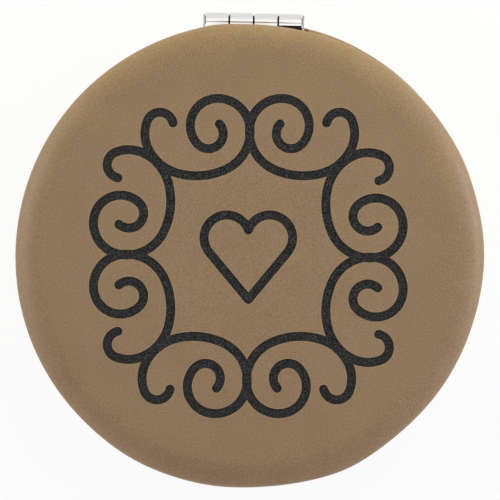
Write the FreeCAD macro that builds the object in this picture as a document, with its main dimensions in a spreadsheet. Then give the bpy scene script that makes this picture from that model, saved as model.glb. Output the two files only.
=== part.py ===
import FreeCAD, Part
import math
import os
from types import SimpleNamespace

import Sketcher

# Round leatherette compact mirror, closed and lying on its base.
# The origin is the middle of the base's underside, +Z is up and the hinge is at +Y.
# Each half is drawn in its own frame, with its rim face at z = 0 and its outer face above.
# The lid is lifted into place. The base is turned over about Y.

doc = FreeCAD.newDocument("CompactMirror")
middle = FreeCAD.Vector(0, 0, 0)
sideways = FreeCAD.Vector(1, 0, 0)
backwards = FreeCAD.Vector(0, 1, 0)
upwards = FreeCAD.Vector(0, 0, 1)

# Driving sizes in millimetres
driving = {
    # Stack of one half, from the rim face to the outer face
    "ring_recess": 0.1,
    "ring_lip": 0.5,
    "mirror_thickness": 1.6,
    "tape_thickness": 0.3,
    "shell_plate": 1.1,
    "foam_thickness": 1.8,
    "skin_thickness": 0.75,
    "parting_gap": 0.2,
    # Rings of one half, from the middle outwards
    "mirror_radius": 25.4,
    "mirror_clearance": 0.1,
    "lip_overlap": 0.5,
    "ring_wall": 2.9,
    "ring_clearance": 0.1,
    "shell_wall": 2.45,
    "skin_fit": 0.05,
    "shell_rim_round": 0.25,
    "ring_round": 0.25,
    "mirror_chamfer": 0.2,
    "magnifier_depth": 0.5,
    "tape_margin": 1.4,
    # Bar magnet of the closure
    "magnet_length": 6,
    "magnet_width": 1.8,
    "magnet_height": 1.5,
    "magnet_clearance": 0.05,
    # Hinge of two folded leaves on one pin
    "pin_radius": 0.55,
    "pin_clearance": 0.03,
    "pin_round": 0.12,
    "leaf_sheet": 0.47,
    "leaf_set": 0.025,
    "fold_reach": 0.56,
    "knuckle_length": 3.06,
    "knuckle_gap": 0.27,
    "ear_gap": 0.1,
    "ear_thickness": 0.25,
    "ear_rise": 0.88,
    "ear_overlap": 0.3,
    "hinge_standoff": 0.2,
    "leaf_backstep": 0.5,
    "swing_clearance": 0.12,
    "leaf_clearance": 0.1,
    "pad_margin": 0.4,
    "pad_fit": 0.1,
    "notch_clearance": 0.25,
    # Rivets that hold each leaf to its shell
    "rivet_spacing": 8,
    "rivet_head_radius": 0.7,
    "rivet_head_height": 0.2,
    "rivet_radius": 0.4,
    "rivet_depth": 1.5,
    "rivet_clearance": 0.03,
    # Engraving on the lid
    "ornament_reach": 21.45,
    "ornament_slide": 0.2,
    "ornament_side_inset": 0.37,
    "heart_reach": 6.2,
    "stroke_width": 1.26,
    "engraving_depth": 0.15,
    # How far a cutting tool passes the face it starts from
    "overrun": 1,
}

sheet = doc.addObject("Spreadsheet::Sheet", "Sizes")
for row, (name, number) in enumerate(driving.items(), start=1):
    sheet.set(f"A{row}", str(number))
    sheet.setAlias(f"A{row}", name)
doc.recompute()


class Size:
    # A length as a number, together with the formula that ties it to the sheet
    def __init__(self, value, formula):
        self.value = value
        self.formula = formula

    def joined(self, sign, other, value):
        return Size(value, f"({self.formula} {sign} {other.formula})")

    def __add__(self, other):
        other = as_size(other)
        return self.joined("+", other, self.value + other.value)

    def __sub__(self, other):
        other = as_size(other)
        return self.joined("-", other, self.value - other.value)

    def __mul__(self, other):
        other = as_size(other)
        return self.joined("*", other, self.value * other.value)

    def __truediv__(self, other):
        other = as_size(other)
        return self.joined("/", other, self.value / other.value)

    def __neg__(self):
        return Size(-self.value, f"(0 - {self.formula})")


def as_size(number):
    if isinstance(number, Size):
        return number
    return Size(number, repr(number))


def leg(hypotenuse, other_leg):
    # The remaining side of a right-angled triangle
    square = hypotenuse * hypotenuse - other_leg * other_leg
    return Size(math.sqrt(square.value), f"sqrt({square.formula})")


def diagonal(width, height):
    # The longest side of a right-angled triangle
    square = width * width + height * height
    return Size(math.sqrt(square.value), f"sqrt({square.formula})")


zero = Size(0, "0")
s = SimpleNamespace(**{name: Size(float(sheet.get(name)), f"Sizes.{name}") for name in driving})

# Levels of one half, measured from its rim face
mirror_face = s.ring_recess + s.ring_lip
mirror_back = mirror_face + s.mirror_thickness
plate_inside = mirror_back + s.tape_thickness
plate_outside = plate_inside + s.shell_plate
foam_top = plate_outside + s.foam_thickness
half_height = foam_top + s.skin_thickness

# Radii of one half
ring_seat = s.mirror_radius + s.mirror_clearance
ring_outside = ring_seat + s.ring_wall
shell_bore = ring_outside + s.ring_clearance
shell_radius = shell_bore + s.shell_wall
skin_inside = shell_radius + s.skin_fit
cover_radius = skin_inside + s.skin_thickness
face_round = s.foam_thickness + s.skin_thickness
rim_round = s.shell_rim_round + s.skin_thickness

# Hinge, with its axis in the middle of the parting gap and its knuckles shared by two leaves.
# Each leaf's plate stops clear of the folded knuckles that swing past it.
knuckle_count = 4
leaf_count = 2
axis_y = cover_radius + s.hinge_standoff
axis_level = -(s.parting_gap / 2)
knuckle_inside = s.pin_radius + s.pin_clearance
knuckle_outside = knuckle_inside + s.leaf_sheet
leaf_rise = knuckle_outside - s.leaf_set
leaf_seat = leaf_rise + axis_level
leaf_back = shell_bore + s.leaf_backstep
leaf_front = axis_y - diagonal(s.fold_reach, leaf_rise) - s.swing_clearance
knuckle_pitch = s.knuckle_length + s.knuckle_gap
knuckle_row = knuckle_pitch * knuckle_count - s.knuckle_gap
hinge_half = knuckle_row / 2 + s.ear_gap + s.ear_thickness
recess_half = hinge_half + s.leaf_clearance
pad_half = recess_half + s.pad_margin
notch_half = pad_half + s.pad_fit
notch_level = axis_level + knuckle_outside + s.notch_clearance
rivet_x = s.rivet_spacing / 2
rivet_y = (leaf_back + leaf_front) / 2

# Places of the two halves
lid_lift = half_height + s.parting_gap
magnet_y = -((ring_seat + ring_outside) / 2)


def bind(thing, **sizes):
    for field, size in sizes.items():
        setattr(thing, field, size.value)
        thing.setExpression(field, size.formula)


def place(thing, half, x=zero, y=zero, level=zero):
    # Puts a piece drawn in its half's frame where that half lies when closed
    turned = FreeCAD.Rotation(backwards, 180 if half == "base" else 0)
    thing.Placement = FreeCAD.Placement(middle, turned)
    if half == "lid":
        spot = {"x": x, "y": y, "z": lid_lift + level}
    else:
        spot = {"x": -x, "y": y, "z": half_height - level}
    for letter, size in spot.items():
        thing.setExpression(f"Placement.Base.{letter}", size.formula)


def new_body(label):
    body = doc.addObject("PartDesign::Body", label)
    body.Label = label
    return body


def new_sketch(body, name, role, offset=None):
    # A sketch on one of the body's own origin planes, moved along its normal by the offset
    sketch = body.newObject("Sketcher::SketchObject", name)
    plane = [item for item in body.Origin.OriginFeatures if item.Role == role][0]
    sketch.AttachmentSupport = (plane, "")
    sketch.MapMode = "FlatFace"
    if offset is not None:
        sketch.setExpression("AttachmentOffset.Base.z", offset.formula)
    return sketch


def constrain_point(sketch, edge, end, point):
    # Ties an edge's end to the sketch origin along both axes
    for kind, axis, size in (("DistanceX", -2, point[0]), ("DistanceY", -1, point[1])):
        if size is zero:
            sketch.addConstraint(Sketcher.Constraint("PointOnObject", edge, end, axis))
        else:
            number = sketch.addConstraint(Sketcher.Constraint(kind, -1, 1, edge, end, size.value))
            sketch.setExpression(f"Constraints[{number}]", size.formula)


def arc_between(start, end, radius, turn):
    # The shorter arc from start to end, leftwards for a turn of 1 and rightwards for -1
    chord = end - start
    left = FreeCAD.Vector(-chord.y, chord.x, 0).normalize()
    rise = math.sqrt(max(radius * radius - chord.Length * chord.Length / 4, 0))
    centre = (start + end) * 0.5 + left * rise * turn
    first, last = (start, end) if turn > 0 else (end, start)
    angles = [math.atan2(point.y - centre.y, point.x - centre.x) for point in (first, last)]
    return Part.ArcOfCircle(Part.Circle(centre, upwards, radius), *angles)


def draw_outline(sketch, outline):
    # Each corner is (x, y), or (x, y, radius, turn) where an arc leads on to the next corner
    corners = [FreeCAD.Vector(corner[0].value, corner[1].value, 0) for corner in outline]
    edges = []
    for index, corner in enumerate(outline):
        start = corners[index]
        end = corners[(index + 1) % len(corners)]
        if len(corner) == 2:
            edge = sketch.addGeometry(Part.LineSegment(start, end))
            edges.append((edge, 1, 2))
            continue
        radius, turn = corner[2:]
        edge = sketch.addGeometry(arc_between(start, end, radius.value, turn))
        edges.append((edge, 1, 2) if turn > 0 else (edge, 2, 1))
        number = sketch.addConstraint(Sketcher.Constraint("Radius", edge, radius.value))
        sketch.setExpression(f"Constraints[{number}]", radius.formula)
    for index, (edge, start_end, last_end) in enumerate(edges):
        following = edges[(index + 1) % len(edges)]
        sketch.addConstraint(Sketcher.Constraint("Coincident", edge, last_end, following[0], following[1]))
        constrain_point(sketch, edge, start_end, outline[index][:2])
    return sketch


def draw_circles(sketch, centres, radius):
    for centre in centres:
        spot = FreeCAD.Vector(centre[0].value, centre[1].value, 0)
        edge = sketch.addGeometry(Part.Circle(spot, upwards, radius.value))
        number = sketch.addConstraint(Sketcher.Constraint("Radius", edge, radius.value))
        sketch.setExpression(f"Constraints[{number}]", radius.formula)
        constrain_point(sketch, edge, 3, centre)
    return sketch


def box_outline(left, bottom, right, top):
    return [(left, bottom), (right, bottom), (right, top), (left, top)]


def revolve(body, name, outline, axis="V_Axis"):
    sketch = draw_outline(new_sketch(body, f"{name}_outline", "XZ_Plane"), outline)
    turned = body.newObject("PartDesign::Revolution", name)
    turned.Profile = sketch
    turned.ReferenceAxis = (sketch, [axis])
    turned.Angle = 360
    return turned


def pad(body, name, sketch, length, midplane=False):
    raised = body.newObject("PartDesign::Pad", name)
    raised.Profile = sketch
    raised.SideType = "Symmetric" if midplane else "One side"
    bind(raised, Length=length)
    return raised


def pocket_upwards(body, name, sketch, depth):
    # Cuts from the sketch towards the outer face, and makes sure that something was cut
    doc.recompute()
    before = body.Shape.Volume
    hole = body.newObject("PartDesign::Pocket", name)
    hole.Profile = sketch
    hole.Reversed = True
    bind(hole, Length=depth)
    doc.recompute()
    if body.Shape.Volume >= before:
        raise RuntimeError(f"{name} cuts nothing")
    return hole


def make_cover(half, label):
    # Leatherette skin: face, rounded edge, side wall and the hem turned in over the rim
    body = new_body(label)
    hem_edge = shell_bore + s.skin_fit
    rim_arc = cover_radius - rim_round
    face_arc = cover_radius - face_round
    outline = [
        (hem_edge, zero),
        (rim_arc, zero, rim_round, 1),
        (cover_radius, rim_round),
        (cover_radius, half_height - face_round, face_round, 1),
        (face_arc, half_height),
        (zero, half_height),
        (zero, foam_top),
        (face_arc, foam_top, s.foam_thickness, -1),
        (skin_inside, half_height - face_round),
        (skin_inside, rim_round, s.shell_rim_round, -1),
        (rim_arc, s.skin_thickness),
        (hem_edge, s.skin_thickness),
    ]
    revolve(body, f"{half}_skin", outline)
    notch = new_sketch(body, f"{half}_notch_outline", "XY_Plane", -s.overrun)
    draw_outline(notch, box_outline(-notch_half, zero, notch_half, axis_y))
    pocket_upwards(body, f"{half}_hinge_notch", notch, notch_level + s.overrun)
    place(body, half)
    return body


def make_foam(half, label):
    # Padding under the skin, with a quarter-round edge
    body = new_body(label)
    foam_radius = shell_radius
    outline = [
        (zero, plate_outside),
        (foam_radius, plate_outside, s.foam_thickness, 1),
        (foam_radius - s.foam_thickness, foam_top),
        (zero, foam_top),
    ]
    revolve(body, f"{half}_padding", outline)
    place(body, half)
    return body


def make_shell(half, label):
    # Moulded cup that everything is glued to, with a raised pad and a recess for the hinge leaf
    body = new_body(label)
    rim_arc = shell_radius - s.shell_rim_round
    outline = [
        (zero, plate_inside),
        (shell_bore, plate_inside),
        (shell_bore, s.skin_thickness),
        (rim_arc, s.skin_thickness, s.shell_rim_round, 1),
        (shell_radius, rim_round),
        (shell_radius, plate_outside),
        (zero, plate_outside),
    ]
    revolve(body, f"{half}_cup", outline)
    pad_inner = leg(shell_bore, pad_half)
    pad_outer = leg(shell_radius, pad_half)
    pad_outline = [
        (-pad_half, pad_inner, shell_bore, -1),
        (pad_half, pad_inner),
        (pad_half, pad_outer, shell_radius, 1),
        (-pad_half, pad_outer),
    ]
    pad_sketch = draw_outline(new_sketch(body, f"{half}_pad_outline", "XY_Plane"), pad_outline)
    pad(body, f"{half}_hinge_pad", pad_sketch, plate_inside)
    recess = new_sketch(body, f"{half}_recess_outline", "XY_Plane", -s.overrun)
    recess_back = leaf_back - s.leaf_clearance
    draw_outline(recess, box_outline(-recess_half, recess_back, recess_half, axis_y))
    pocket_upwards(body, f"{half}_leaf_recess", recess, leaf_seat + s.overrun)
    holes = new_sketch(body, f"{half}_rivet_hole_outline", "XY_Plane")
    hole_radius = s.rivet_radius + s.rivet_clearance
    draw_circles(holes, [(-rivet_x, rivet_y), (rivet_x, rivet_y)], hole_radius)
    pocket_upwards(body, f"{half}_rivet_holes", holes, leaf_seat + s.rivet_depth + s.rivet_clearance)
    place(body, half)
    return body


def make_ring(half, label):
    # Bezel that holds the mirror under its lip, with a blind pocket for the magnet at the front
    body = new_body(label)
    lip_inside = s.mirror_radius - s.lip_overlap
    front = s.ring_recess
    outline = [
        (lip_inside + s.ring_round, front),
        (ring_outside - s.ring_round, front, s.ring_round, 1),
        (ring_outside, front + s.ring_round),
        (ring_outside, plate_inside),
        (ring_seat, plate_inside),
        (ring_seat, mirror_face),
        (lip_inside, mirror_face),
        (lip_inside, front + s.ring_round, s.ring_round, 1),
    ]
    revolve(body, f"{half}_bezel", outline)
    pocket_x = s.magnet_length / 2 + s.magnet_clearance
    pocket_y = s.magnet_width / 2 + s.magnet_clearance
    outline = box_outline(-pocket_x, magnet_y - pocket_y, pocket_x, magnet_y + pocket_y)
    sketch = draw_outline(new_sketch(body, f"{half}_pocket_outline", "XY_Plane", mirror_face), outline)
    pocket_upwards(body, f"{half}_magnet_pocket", sketch, plate_inside - mirror_face + s.overrun)
    place(body, half)
    return body


def make_mirror(half, label, hollow):
    # Silvered glass with ground edges, hollowed on its face where it magnifies
    body = new_body(label)
    edge = s.mirror_radius - s.mirror_chamfer
    if hollow:
        depth = s.magnifier_depth
        sphere = (edge * edge + depth * depth) / (depth * 2)
        face = [(zero, mirror_face + depth, sphere, -1)]
    else:
        face = [(zero, mirror_face)]
    outline = face + [
        (edge, mirror_face),
        (s.mirror_radius, mirror_face + s.mirror_chamfer),
        (s.mirror_radius, mirror_back - s.mirror_chamfer),
        (edge, mirror_back),
        (zero, mirror_back),
    ]
    revolve(body, f"{half}_glass", outline)
    place(body, half)
    return body


def make_tape(half, label):
    # Double-sided adhesive disc between the glass and the shell
    disc = doc.addObject("Part::Cylinder", label)
    disc.Label = label
    bind(disc, Radius=s.mirror_radius - s.tape_margin, Height=s.tape_thickness)
    place(disc, half, level=mirror_back)
    return disc


def make_magnet(half, label):
    # Bar magnet at the front of the ring, pulling towards its twin
    bar = doc.addObject("Part::Box", label)
    bar.Label = label
    bind(bar, Length=s.magnet_length, Width=s.magnet_width, Height=s.magnet_height)
    corner_y = magnet_y - s.magnet_width / 2
    place(bar, half, x=-(s.magnet_length / 2), y=corner_y, level=mirror_face)
    return bar


def knuckle_outline():
    # Sheet that leaves the plate, folds round the pin and runs straight back on the other side
    under_plate = leaf_rise - s.leaf_sheet
    root = (leaf_back + leaf_front) / 2
    fold_end = axis_y - s.fold_reach
    outer_crease = axis_y - leg(knuckle_outside, leaf_rise)
    inner_crease = axis_y - leg(knuckle_inside, under_plate)
    return [
        (root, axis_level + leaf_rise),
        (outer_crease, axis_level + leaf_rise, knuckle_outside, -1),
        (axis_y + knuckle_outside, axis_level, knuckle_outside, -1),
        (outer_crease, axis_level - leaf_rise),
        (fold_end, axis_level - leaf_rise),
        (fold_end, axis_level - under_plate),
        (inner_crease, axis_level - under_plate, knuckle_inside, 1),
        (axis_y + knuckle_inside, axis_level, knuckle_inside, 1),
        (inner_crease, axis_level + under_plate),
        (root, axis_level + under_plate),
    ]


def ear_outline():
    # Upright tab that carries one end of the pin
    back = leaf_front - s.ear_overlap
    return [
        (back, axis_level - s.ear_rise),
        (axis_y, axis_level - s.ear_rise, s.ear_rise, 1),
        (axis_y + s.ear_rise, axis_level, s.ear_rise, 1),
        (axis_y, axis_level + s.ear_rise),
        (axis_y, leaf_seat),
        (back, leaf_seat),
    ]


def make_leaf(half, label, with_ears):
    # Hinge leaf: flat plate, two folded knuckles and, on the base, an ear at each end
    body = new_body(label)
    length = hinge_half * 2 if with_ears else knuckle_row
    flat = new_sketch(body, f"{half}_leaf_outline", "YZ_Plane")
    draw_outline(flat, box_outline(leaf_back, leaf_seat - s.leaf_sheet, leaf_front, leaf_seat))
    pad(body, f"{half}_leaf_plate", flat, length, midplane=True)
    fold = new_sketch(body, f"{half}_knuckle_outline", "YZ_Plane", -(knuckle_row / 2))
    draw_outline(fold, knuckle_outline())
    knuckle = pad(body, f"{half}_knuckle", fold, s.knuckle_length)
    doc.recompute()
    row = body.newObject("PartDesign::LinearPattern", f"{half}_knuckles")
    row.Originals = [knuckle]
    row.Direction = (fold, ["N_Axis"])
    row.Occurrences = knuckle_count // leaf_count
    bind(row, Length=knuckle_pitch * (knuckle_count - leaf_count))
    body.Tip = row
    if with_ears:
        for side, start in (("left", -hinge_half), ("right", hinge_half - s.ear_thickness)):
            ear = new_sketch(body, f"{half}_{side}_ear_outline", "YZ_Plane", start)
            draw_outline(ear, ear_outline())
            draw_circles(ear, [(axis_y, axis_level)], s.pin_radius)
            pad(body, f"{half}_{side}_ear", ear, s.ear_thickness)
    holes = new_sketch(body, f"{half}_leaf_hole_outline", "XY_Plane")
    draw_circles(holes, [(-rivet_x, rivet_y), (rivet_x, rivet_y)], s.rivet_radius + s.rivet_clearance)
    pocket_upwards(body, f"{half}_leaf_holes", holes, leaf_seat + s.overrun)
    place(body, half)
    return body


def make_rivets(half, label):
    # Two round-headed rivets, each through the leaf and into the shell
    head_base = leaf_seat - s.leaf_sheet
    head_top = head_base - s.rivet_head_height
    tip = leaf_seat + s.rivet_depth
    outline = [
        (zero, head_top),
        (s.rivet_head_radius - s.rivet_head_height, head_top, s.rivet_head_height, 1),
        (s.rivet_head_radius, head_base),
        (s.rivet_radius, head_base),
        (s.rivet_radius, tip),
        (zero, tip),
    ]
    pair = []
    for side, spot in (("left", -rivet_x), ("right", rivet_x)):
        body = new_body(f"{half}_{side}_rivet")
        revolve(body, f"{half}_{side}_rivet_turned", outline)
        body.setExpression("Placement.Base.x", spot.formula)
        body.setExpression("Placement.Base.y", rivet_y.formula)
        pair.append(body)
    group = doc.addObject("Part::Compound", label)
    group.Label = label
    group.Links = pair
    place(group, half)
    return group


def make_pin(label):
    # Hinge pin, pressed into the ears, with rounded ends
    body = new_body(label)
    shank = hinge_half - s.pin_round
    outline = [
        (-hinge_half, zero),
        (hinge_half, zero),
        (hinge_half, s.pin_radius - s.pin_round, s.pin_round, 1),
        (shank, s.pin_radius),
        (-shank, s.pin_radius, s.pin_round, 1),
        (-hinge_half, s.pin_radius - s.pin_round),
    ]
    revolve(body, "pin_turned", outline, axis="H_Axis")
    place(body, "lid", y=axis_y, level=axis_level)
    return body


# Engraving on the lid, as shares of the ornament's reach and of the heart's reach
scroll_start_shares = (-0.486, 0.843)
scroll_radius_shares = (0.085, 0.222, 0.294, 0.444, 0.26, 0.202, 0.171, 0.094)
scroll_sweeps = (146.5, 48, 48.5, 41, 72.5, 91, 123.5, 179)
scroll_heading = 102
heart_lobe_share = 0.5
heart_lobe_place_shares = (0.47, 0.4)
heart_tip_share = -0.95
quarter_turns = (0, 90, 180, 270)
ornament_skew = 1.05


def arc_edge(centre, radius, first, last):
    return Part.ArcOfCircle(Part.Circle(centre, upwards, radius), first, last).toShape()


def scroll_face(reach, width):
    # One C-scroll: left-hand arcs that run smoothly into each other, drawn with a round pen
    point = FreeCAD.Vector(*scroll_start_shares, 0) * reach
    heading = math.radians(scroll_heading)
    edges = []
    for share, sweep in zip(scroll_radius_shares, scroll_sweeps):
        radius = share * reach
        leftwards = FreeCAD.Vector(-math.sin(heading), math.cos(heading), 0)
        centre = point + leftwards * radius
        first = heading - math.pi / 2
        heading = heading + math.radians(sweep)
        edges.append(arc_edge(centre, radius, first, heading - math.pi / 2))
        point = centre + FreeCAD.Vector(math.sin(heading), -math.cos(heading), 0) * radius
    return Part.Face(Part.Wire(edges).makeOffset2D(width / 2))


def heart_face(reach, width):
    # Outline of a heart: two lobes, and two straight sides that touch them and meet at the tip
    lobe = heart_lobe_share * reach
    centre = FreeCAD.Vector(*heart_lobe_place_shares, 0) * reach
    tip = FreeCAD.Vector(0, heart_tip_share * reach, 0)
    span = centre - tip
    lean = math.asin(lobe / span.Length)
    side_angle = math.atan2(span.y, span.x) - lean
    cleft_angle = math.pi - math.acos(centre.x / lobe)
    right_lobe = arc_edge(centre, lobe, side_angle - math.pi / 2, cleft_angle)
    right_side = Part.LineSegment(tip, right_lobe.Vertexes[0].Point).toShape()
    left_half = [edge.mirror(middle, sideways) for edge in (right_lobe, right_side)]
    line = Part.Wire(Part.__sortEdges__([right_side, right_lobe] + left_half))
    return Part.Face(line.makeOffset2D(width / 2)).cut(Part.Face(line.makeOffset2D(-width / 2)))


def make_engraving(half, label):
    # Cutter for the engraved lines: four mirrored pairs of scrolls round a heart.
    # Each pair sits a little way round, the side pairs sit further in, and all lie a little askew.
    width = s.stroke_width.value
    scroll = scroll_face(s.ornament_reach.value, width)
    strokes = []
    for angle in quarter_turns:
        inset = s.ornament_side_inset.value if angle % 180 else 0
        step = sideways * s.ornament_slide.value - backwards * inset
        for twin in (scroll, scroll.mirror(middle, sideways)):
            strokes.append(twin.translated(step).rotated(middle, upwards, angle))
    ornament = strokes[0].multiFuse(strokes[1:]).removeSplitter()
    heart = heart_face(s.heart_reach.value, width)
    depth = s.engraving_depth + s.overrun
    lines = Part.makeCompound([ornament, heart]).rotated(middle, upwards, ornament_skew)
    cutter = doc.addObject("Part::Feature", label)
    cutter.Label = label
    cutter.Shape = lines.extrude(upwards * depth.value)
    place(cutter, half, level=half_height - s.engraving_depth)
    return cutter


def engrave(blank, cutter, label):
    # The finished cover, with the engraved lines cut into its face
    cover = doc.addObject("Part::Cut", label)
    cover.Label = label
    cover.Base = blank
    cover.Tool = cutter
    return cover


lid_blank = make_cover("lid", "lid_cover_blank")
lid_cover = engrave(lid_blank, make_engraving("lid", "lid_engraving"), "lid_leatherette_cover")
pieces = [
    lid_cover,
    make_cover("base", "base_leatherette_cover"),
    make_mirror("lid", "lid_mirror", hollow=False),
    make_mirror("base", "base_magnifying_mirror", hollow=True),
    make_leaf("lid", "lid_hinge_leaf", with_ears=False),
    make_leaf("base", "base_hinge_leaf", with_ears=True),
    make_pin("hinge_pin"),
]
for half in ("lid", "base"):
    pieces.append(make_foam(half, f"{half}_foam_pad"))
    pieces.append(make_shell(half, f"{half}_shell"))
    pieces.append(make_ring(half, f"{half}_mirror_ring"))
    pieces.append(make_tape(half, f"{half}_mirror_tape"))
    pieces.append(make_magnet(half, f"{half}_magnet"))
    pieces.append(make_rivets(half, f"{half}_hinge_rivets"))
doc.recompute()

# Nothing is written unless every object and every piece came out sound
for item in doc.Objects:
    if "Invalid" in item.State or "Error" in item.State:
        raise RuntimeError(f"{item.Label} failed: {item.State}")
for piece in pieces:
    if piece.Shape.isNull() or not piece.Shape.isValid():
        raise RuntimeError(f"{piece.Label} has no sound shape")

os.makedirs("parts", exist_ok=True)
for piece in pieces:
    piece.Shape.exportStep(f"parts/{piece.Label}.step")
    print(f"{piece.Label}: {len(piece.Shape.Solids)} solid(s), {piece.Shape.Volume:.1f} mm3")
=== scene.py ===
import math

import bmesh
import bpy
import numpy as np
from mathutils import Matrix, Vector
from mathutils.geometry import delaunay_2d_cdt


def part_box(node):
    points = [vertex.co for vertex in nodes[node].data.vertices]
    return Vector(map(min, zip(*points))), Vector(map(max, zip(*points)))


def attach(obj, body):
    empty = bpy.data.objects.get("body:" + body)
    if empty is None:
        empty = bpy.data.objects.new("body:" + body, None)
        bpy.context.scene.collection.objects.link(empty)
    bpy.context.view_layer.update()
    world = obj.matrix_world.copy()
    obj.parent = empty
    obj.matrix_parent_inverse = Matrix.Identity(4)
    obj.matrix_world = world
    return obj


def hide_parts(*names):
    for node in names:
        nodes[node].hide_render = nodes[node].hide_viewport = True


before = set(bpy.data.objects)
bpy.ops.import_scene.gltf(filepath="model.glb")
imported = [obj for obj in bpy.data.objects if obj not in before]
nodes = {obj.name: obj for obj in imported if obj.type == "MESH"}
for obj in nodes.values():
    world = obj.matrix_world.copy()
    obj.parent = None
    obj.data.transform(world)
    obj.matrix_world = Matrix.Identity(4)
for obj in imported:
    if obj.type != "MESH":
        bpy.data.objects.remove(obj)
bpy.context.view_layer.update()        # meshes of the imported compact's nodes, placed in world space
mm = 0.001               # sizes below are in millimetres, Blender's are in metres
fullTurn = 2 * math.pi
onPlane = 1e-7           # metres: mesh points this near a cutting plane lie on it
noiseMiddle = 0.5        # a noise texture's values lie about this
noiseSpan = (0.3, 0.7)   # and most of them lie in this span
print("frame loaded:", len(nodes), "nodes")


def linear(hexColour):
    # sRGB hex to the linear colour that shaders take
    channels = [int(hexColour[i:i + 2], 16) / 255 for i in (1, 3, 5)]
    curved = [c / 12.92 if c <= 0.04045 else ((c + 0.055) / 1.055) ** 2.4 for c in channels]
    return (*curved, 1.0)


def addNode(tree, kind, inputs, **settings):
    # inputs are sockets to link, or values to set, by name or number
    node = tree.nodes.new("ShaderNode" + kind)
    for name, value in settings.items():
        setattr(node, name, value)
    for name, value in inputs.items():
        if isinstance(value, bpy.types.NodeSocket):
            tree.links.new(value, node.inputs[name])
        else:
            node.inputs[name].default_value = value
    return node


def newMaterial(name):
    material = bpy.data.materials.new(name)
    material.use_nodes = True
    tree = material.node_tree
    tree.nodes.clear()
    shader = addNode(tree, "BsdfPrincipled", {})
    addNode(tree, "OutputMaterial", {"Surface": shader.outputs["BSDF"]})
    spot = addNode(tree, "TexCoord", {}).outputs["Object"]
    return material, tree, shader, spot


def perMetre(size):
    # texture scale for a pattern whose features are this many millimetres across
    return 1 / (size * mm)


def addObject(name, data):
    made = bpy.data.objects.new(name, data)
    bpy.context.scene.collection.objects.link(made)
    return made


# Leatherette
leatherette = dict(
    light="#a78b6d", dark="#79634b", bleached="#a78c6c",
    mottle=0.2, blotch=5.0, blotchShare=0.2, mottleReach=0.35,
    pebble=0.42, pebbleDepth=0.010,
    roughness=(0.44, 0.56), specular=0.35)


def makeLeatherette():
    # Polyurethane-coated leatherette, embossed: a matte tan coat, finely mottled,
    # whose pebble breaks up the light and leaves a soft sheen where the edge turns away
    look = leatherette
    material, tree, shader, spot = newMaterial("polyurethaneLeatheretteEmbossed")
    mottle = addNode(tree, "TexNoise", {"Vector": spot, "Scale": perMetre(look["mottle"]), "Detail": 2.0})
    blotch = addNode(tree, "TexNoise", {"Vector": spot, "Scale": perMetre(look["blotch"]), "Detail": 2.0})
    faint = addNode(tree, "Math", {0: blotch.outputs["Fac"], 1: look["blotchShare"]}, operation="MULTIPLY")
    both = addNode(tree, "Math", {0: mottle.outputs["Fac"], 1: faint.outputs[0]}, operation="ADD")
    middle, reach = noiseMiddle * (1 + look["blotchShare"]), look["mottleReach"]
    share = addNode(tree, "MapRange", {"Value": both.outputs[0], "From Min": middle - reach,
                                       "From Max": middle + reach})
    coat = addNode(tree, "Mix", {0: share.outputs[0], 6: linear(look["dark"]), 7: linear(look["light"])},
                   data_type="RGBA")
    scorch = addNode(tree, "Attribute", {}, attribute_name="scorch")
    edged = addNode(tree, "Mix", {0: scorch.outputs["Fac"], 6: coat.outputs[2],
                                  7: linear(look["bleached"])}, data_type="RGBA")
    pebble = addNode(tree, "TexVoronoi", {"Vector": spot, "Scale": perMetre(look["pebble"])},
                     feature="SMOOTH_F1")
    bump = addNode(tree, "Bump", {"Height": pebble.outputs["Distance"], "Strength": 1.0,
                                  "Distance": look["pebbleDepth"] * mm}, invert=True)
    low, high = look["roughness"]
    rough = addNode(tree, "MapRange", {"Value": mottle.outputs["Fac"], "From Min": noiseSpan[0],
                                       "From Max": noiseSpan[1], "To Min": low, "To Max": high})
    shader.inputs["Specular IOR Level"].default_value = look["specular"]
    tree.links.new(edged.outputs[2], shader.inputs["Base Color"])
    tree.links.new(rough.outputs[0], shader.inputs["Roughness"])
    tree.links.new(bump.outputs[0], shader.inputs["Normal"])
    return material


engravedCore = dict(
    dark="#040405", light="#4c4c4d", grain=0.17, grainSpan=(0.45, 0.68), grainDepth=0.02,
    roughness=0.8, specular=0.25)


def makeEngravedCore():
    # Black backing of the leatherette, bared by a laser: charcoal, dull and finely pitted
    look = engravedCore
    material, tree, shader, spot = newMaterial("leatheretteCoreLasered")
    grain = addNode(tree, "TexNoise", {"Vector": spot, "Scale": perMetre(look["grain"]), "Detail": 3.0})
    low, high = look["grainSpan"]
    share = addNode(tree, "MapRange", {"Value": grain.outputs["Fac"], "From Min": low, "From Max": high})
    char = addNode(tree, "Mix", {0: share.outputs[0], 6: linear(look["dark"]), 7: linear(look["light"])},
                   data_type="RGBA")
    bump = addNode(tree, "Bump", {"Height": grain.outputs["Fac"], "Strength": 1.0,
                                  "Distance": look["grainDepth"] * mm})
    shader.inputs["Roughness"].default_value = look["roughness"]
    shader.inputs["Specular IOR Level"].default_value = look["specular"]
    tree.links.new(char.outputs[2], shader.inputs["Base Color"])
    tree.links.new(bump.outputs[0], shader.inputs["Normal"])
    return material


nickel = dict(bright="#e6e5e3", dull="#dad9d7", drawnLine=0.09, drawnLength=4.0, roughness=(0.12, 0.24))
shearedNickelAndPaintedLine = dict(
    bright="#c4c2bf", dull="#a9a7a4", drawnLine=0.07, drawnLength=0.3, roughness=(0.3, 0.45))


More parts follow.
